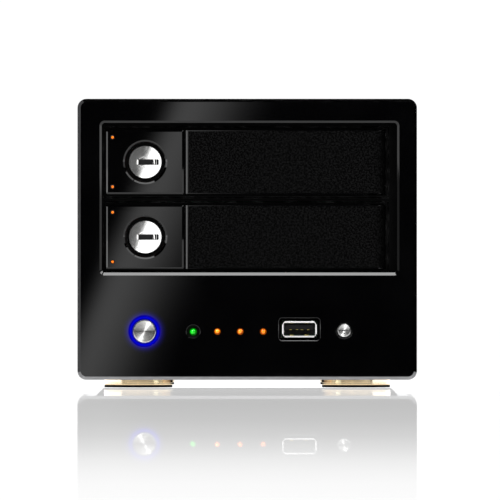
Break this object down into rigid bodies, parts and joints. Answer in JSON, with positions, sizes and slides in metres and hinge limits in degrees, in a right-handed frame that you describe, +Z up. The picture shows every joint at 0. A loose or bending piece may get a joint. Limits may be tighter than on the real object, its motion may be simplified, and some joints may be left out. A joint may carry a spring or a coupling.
{
  "type": "network attached storage",
  "caption": "Desktop network storage unit with stacked lockable drive trays behind a gloss black front, swing-out tray handles, a lit power button and metal feet.",
  "frame": {"origin": "on the surface the unit stands on, under the middle of its footprint", "axes": "+X to the right seen from the front, +Y from the front to the back, +Z up; the front with the trays faces -Y"},
  "size_m": [0.1358, 0.2032, 0.1156],
  "materials": {
    "gloss_black": "high-gloss lacquer over moulded plastic",
    "satin_black": "fine satin moulding",
    "handle_mesh": "matt black fine mesh",
    "cover_metal": "black powder coat on aluminium sheet",
    "zinc_sheet": "zinc-plated sheet, satin",
    "polished_metal": "polished",
    "turned_metal": "circular turned grain",
    "champagne_metal": "champagne anodised, polished rim",
    "foot_rubber": "matt",
    "circuit_board": "green solder mask",
    "black_plastic": "matt moulding",
    "cast_metal": "die casting, matt",
    "disk_lid_metal": "stamped steel, satin",
    "heatsink_metal": "black anodised",
    "cable_jacket": "grey ribbon",
    "blue_lens": "lit blue ring",
    "green_lens": "lit green lens",
    "amber_lens": "lit amber lens"
  },
  "bodies": {
    "housing": {"fascia": "gloss_black", "bay_surround": "satin_black", "top_cover": "cover_metal", "base_pan": "zinc_sheet", "rear_panel": "cover_metal", "cage_wall_left": "black_plastic", "cage_wall_right": "black_plastic", "cage_bridge": "zinc_sheet", "backplane": "circuit_board", "drive_socket_upper": "black_plastic", "drive_socket_lower": "black_plastic", "mainboard": "circuit_board", "heatsink": "heatsink_metal", "network_socket": "polished_metal", "rear_usb_ports": "polished_metal", "power_inlet": "black_plastic", "front_board": "circuit_board", "front_cable": "cable_jacket", "status_lamp": "green_lens", "activity_lamp_1": "amber_lens", "activity_lamp_2": "amber_lens", "activity_lamp_3": "amber_lens", "power_ring": "blue_lens", "front_usb_shell": "polished_metal", "front_usb_tongue": "black_plastic", "fan_frame": "black_plastic", "finger_guard": "polished_metal", "foot_front_left": "champagne_metal", "foot_front_right": "champagne_metal", "foot_rear_left": "champagne_metal", "foot_rear_right": "champagne_metal", "foot_pad_front_left": "foot_rubber", "foot_pad_front_right": "foot_rubber", "foot_pad_rear_left": "foot_rubber", "foot_pad_rear_right": "foot_rubber"},
    "power_button": {"power_button": "turned_metal"},
    "copy_button": {"copy_button": "turned_metal"},
    "fan_rotor": {"fan_rotor": "black_plastic"},
    "tray_upper": {"tray_front_upper": "gloss_black", "tray_carrier_upper": "satin_black", "hinge_pin_upper": "polished_metal", "lock_barrel_upper": "satin_black", "light_guide_upper": "amber_lens", "disk_base_upper": "cast_metal", "disk_lid_upper": "disk_lid_metal"},
    "handle_upper": {"handle_upper": "satin_black", "handle_mesh_upper": "handle_mesh"},
    "lock_upper": {"lock_plug_upper": "polished_metal"},
    "bolt_upper": {"lock_bolt_upper": "zinc_sheet"},
    "tray_lower": {"tray_front_lower": "gloss_black", "tray_carrier_lower": "satin_black", "hinge_pin_lower": "polished_metal", "lock_barrel_lower": "satin_black", "light_guide_lower": "amber_lens", "disk_base_lower": "cast_metal", "disk_lid_lower": "disk_lid_metal"},
    "handle_lower": {"handle_lower": "satin_black", "handle_mesh_lower": "handle_mesh"},
    "lock_lower": {"lock_plug_lower": "polished_metal"},
    "bolt_lower": {"lock_bolt_lower": "zinc_sheet"}
  },
  "joints": [
    {"name": "bay_lower_slide", "type": "slide", "parent": "housing", "child": "tray_lower", "axis": [0, -1, 0], "range_m": [0, 0.14]},
    {"name": "bay_upper_slide", "type": "slide", "parent": "housing", "child": "tray_upper", "axis": [0, -1, 0], "range_m": [0, 0.14]},
    {"name": "copy_button_press", "type": "slide", "parent": "housing", "child": "copy_button", "axis": [0, 1, 0], "range_m": [0, 0.001], "stiffness_N_per_m": 400, "springref_m": -0.001},
    {"name": "fan_spin", "type": "hinge", "parent": "housing", "child": "fan_rotor", "pos_m": [0, 0.0856, 0.0755], "axis": [0, 1, 0], "continuous": true},
    {"name": "handle_lower_swing", "type": "hinge", "parent": "tray_lower", "child": "handle_lower", "pos_m": [0.0514, -0.0948, 0.0603], "axis": [0, 0, 1], "range_deg": [0, 85]},
    {"name": "handle_upper_swing", "type": "hinge", "parent": "tray_upper", "child": "handle_upper", "pos_m": [0.0514, -0.0948, 0.0903], "axis": [0, 0, 1], "range_deg": [0, 85]},
    {"name": "lock_lower_turn", "type": "hinge", "parent": "tray_lower", "child": "lock_lower", "pos_m": [-0.0408, -0.0944, 0.0603], "axis": [0, 1, 0], "range_deg": [0, 90]},
    {"name": "lock_upper_turn", "type": "hinge", "parent": "tray_upper", "child": "lock_upper", "pos_m": [-0.0408, -0.0944, 0.0903], "axis": [0, 1, 0], "range_deg": [0, 90]},
    {"name": "turned_bolt_lower_slide", "type": "slide", "parent": "tray_lower", "child": "bolt_lower", "axis": [1, 0, 0], "range_m": [0, 0.00497]},
    {"name": "turned_bolt_upper_slide", "type": "slide", "parent": "tray_upper", "child": "bolt_upper", "axis": [1, 0, 0], "range_m": [0, 0.00497]},
    {"name": "power_button_press", "type": "slide", "parent": "housing", "child": "power_button", "axis": [0, 1, 0], "range_m": [0, 0.0012], "stiffness_N_per_m": 400, "springref_m": -0.001}
  ],
  "couplings": [
    {"joint": "turned_bolt_lower_slide", "follows": "lock_lower_turn", "m_per_rad": 0.0031511},
    {"joint": "turned_bolt_upper_slide", "follows": "lock_upper_turn", "m_per_rad": 0.0031511}
  ]
}
